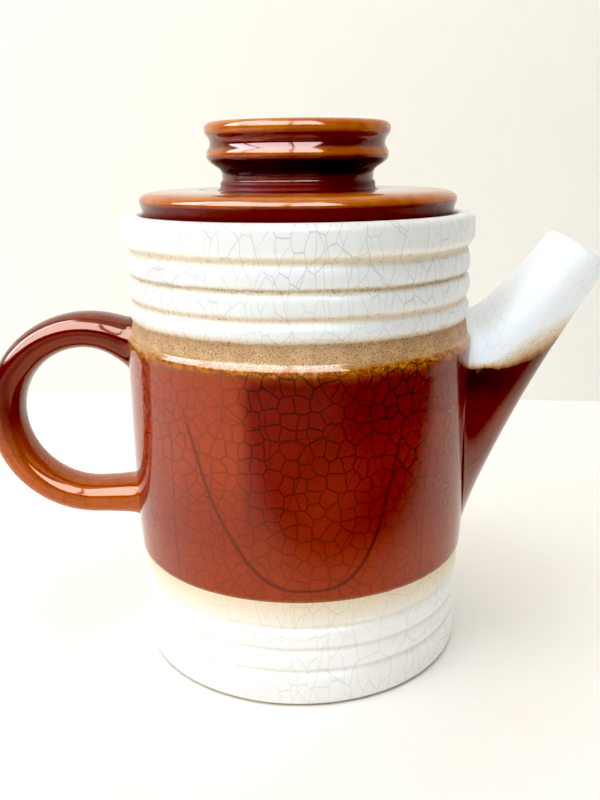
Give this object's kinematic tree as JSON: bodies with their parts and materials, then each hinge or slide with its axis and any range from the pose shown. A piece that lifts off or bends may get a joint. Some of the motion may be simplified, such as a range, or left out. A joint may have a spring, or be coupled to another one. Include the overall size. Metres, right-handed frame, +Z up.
{
  "type": "teapot with infuser basket",
  "caption": "Straight-sided ribbed stoneware teapot with a loop handle, an angled spout and a disc-knob lid over a lift-out perforated steel brewing basket.",
  "frame": {"origin": "centre of the foot ring's resting plane, on the pot's axis", "axes": "+Z up along the pot's axis, +X towards the spout, -X towards the handle, so the pot is symmetric about the XZ plane apart from the staggered holes"},
  "size_m": [0.2128, 0.1152, 0.1785],
  "materials": {
    "pot_glaze": "glossy crackle glaze, white at both ends and red-brown round the middle",
    "brown_glaze": "glossy red-brown glaze breaking to amber on the edges",
    "lid_glaze": "glossy dark red-brown glaze breaking to amber on the edges",
    "pressed_steel": "satin stainless steel",
    "perforated_steel": "satin stainless sheet with round holes"
  },
  "bodies": {
    "pot": {"pot_body": "pot_glaze", "spout": "brown_glaze", "handle": "brown_glaze"},
    "infuser": {"infuser_rim": "pressed_steel", "infuser_wall": "perforated_steel", "infuser_base": "perforated_steel"},
    "lid": {"lid": "lid_glaze", "lid_knob": "lid_glaze"}
  },
  "joints": [
    {"name": "infuser_lift", "type": "slide", "parent": "pot", "child": "infuser", "axis": [0, 0, 1], "range_m": [0, 0.115]},
    {"name": "lid_lift", "type": "slide", "parent": "infuser", "child": "lid", "axis": [0, 0, 1], "range_m": [0, 0.06]}
  ]
}
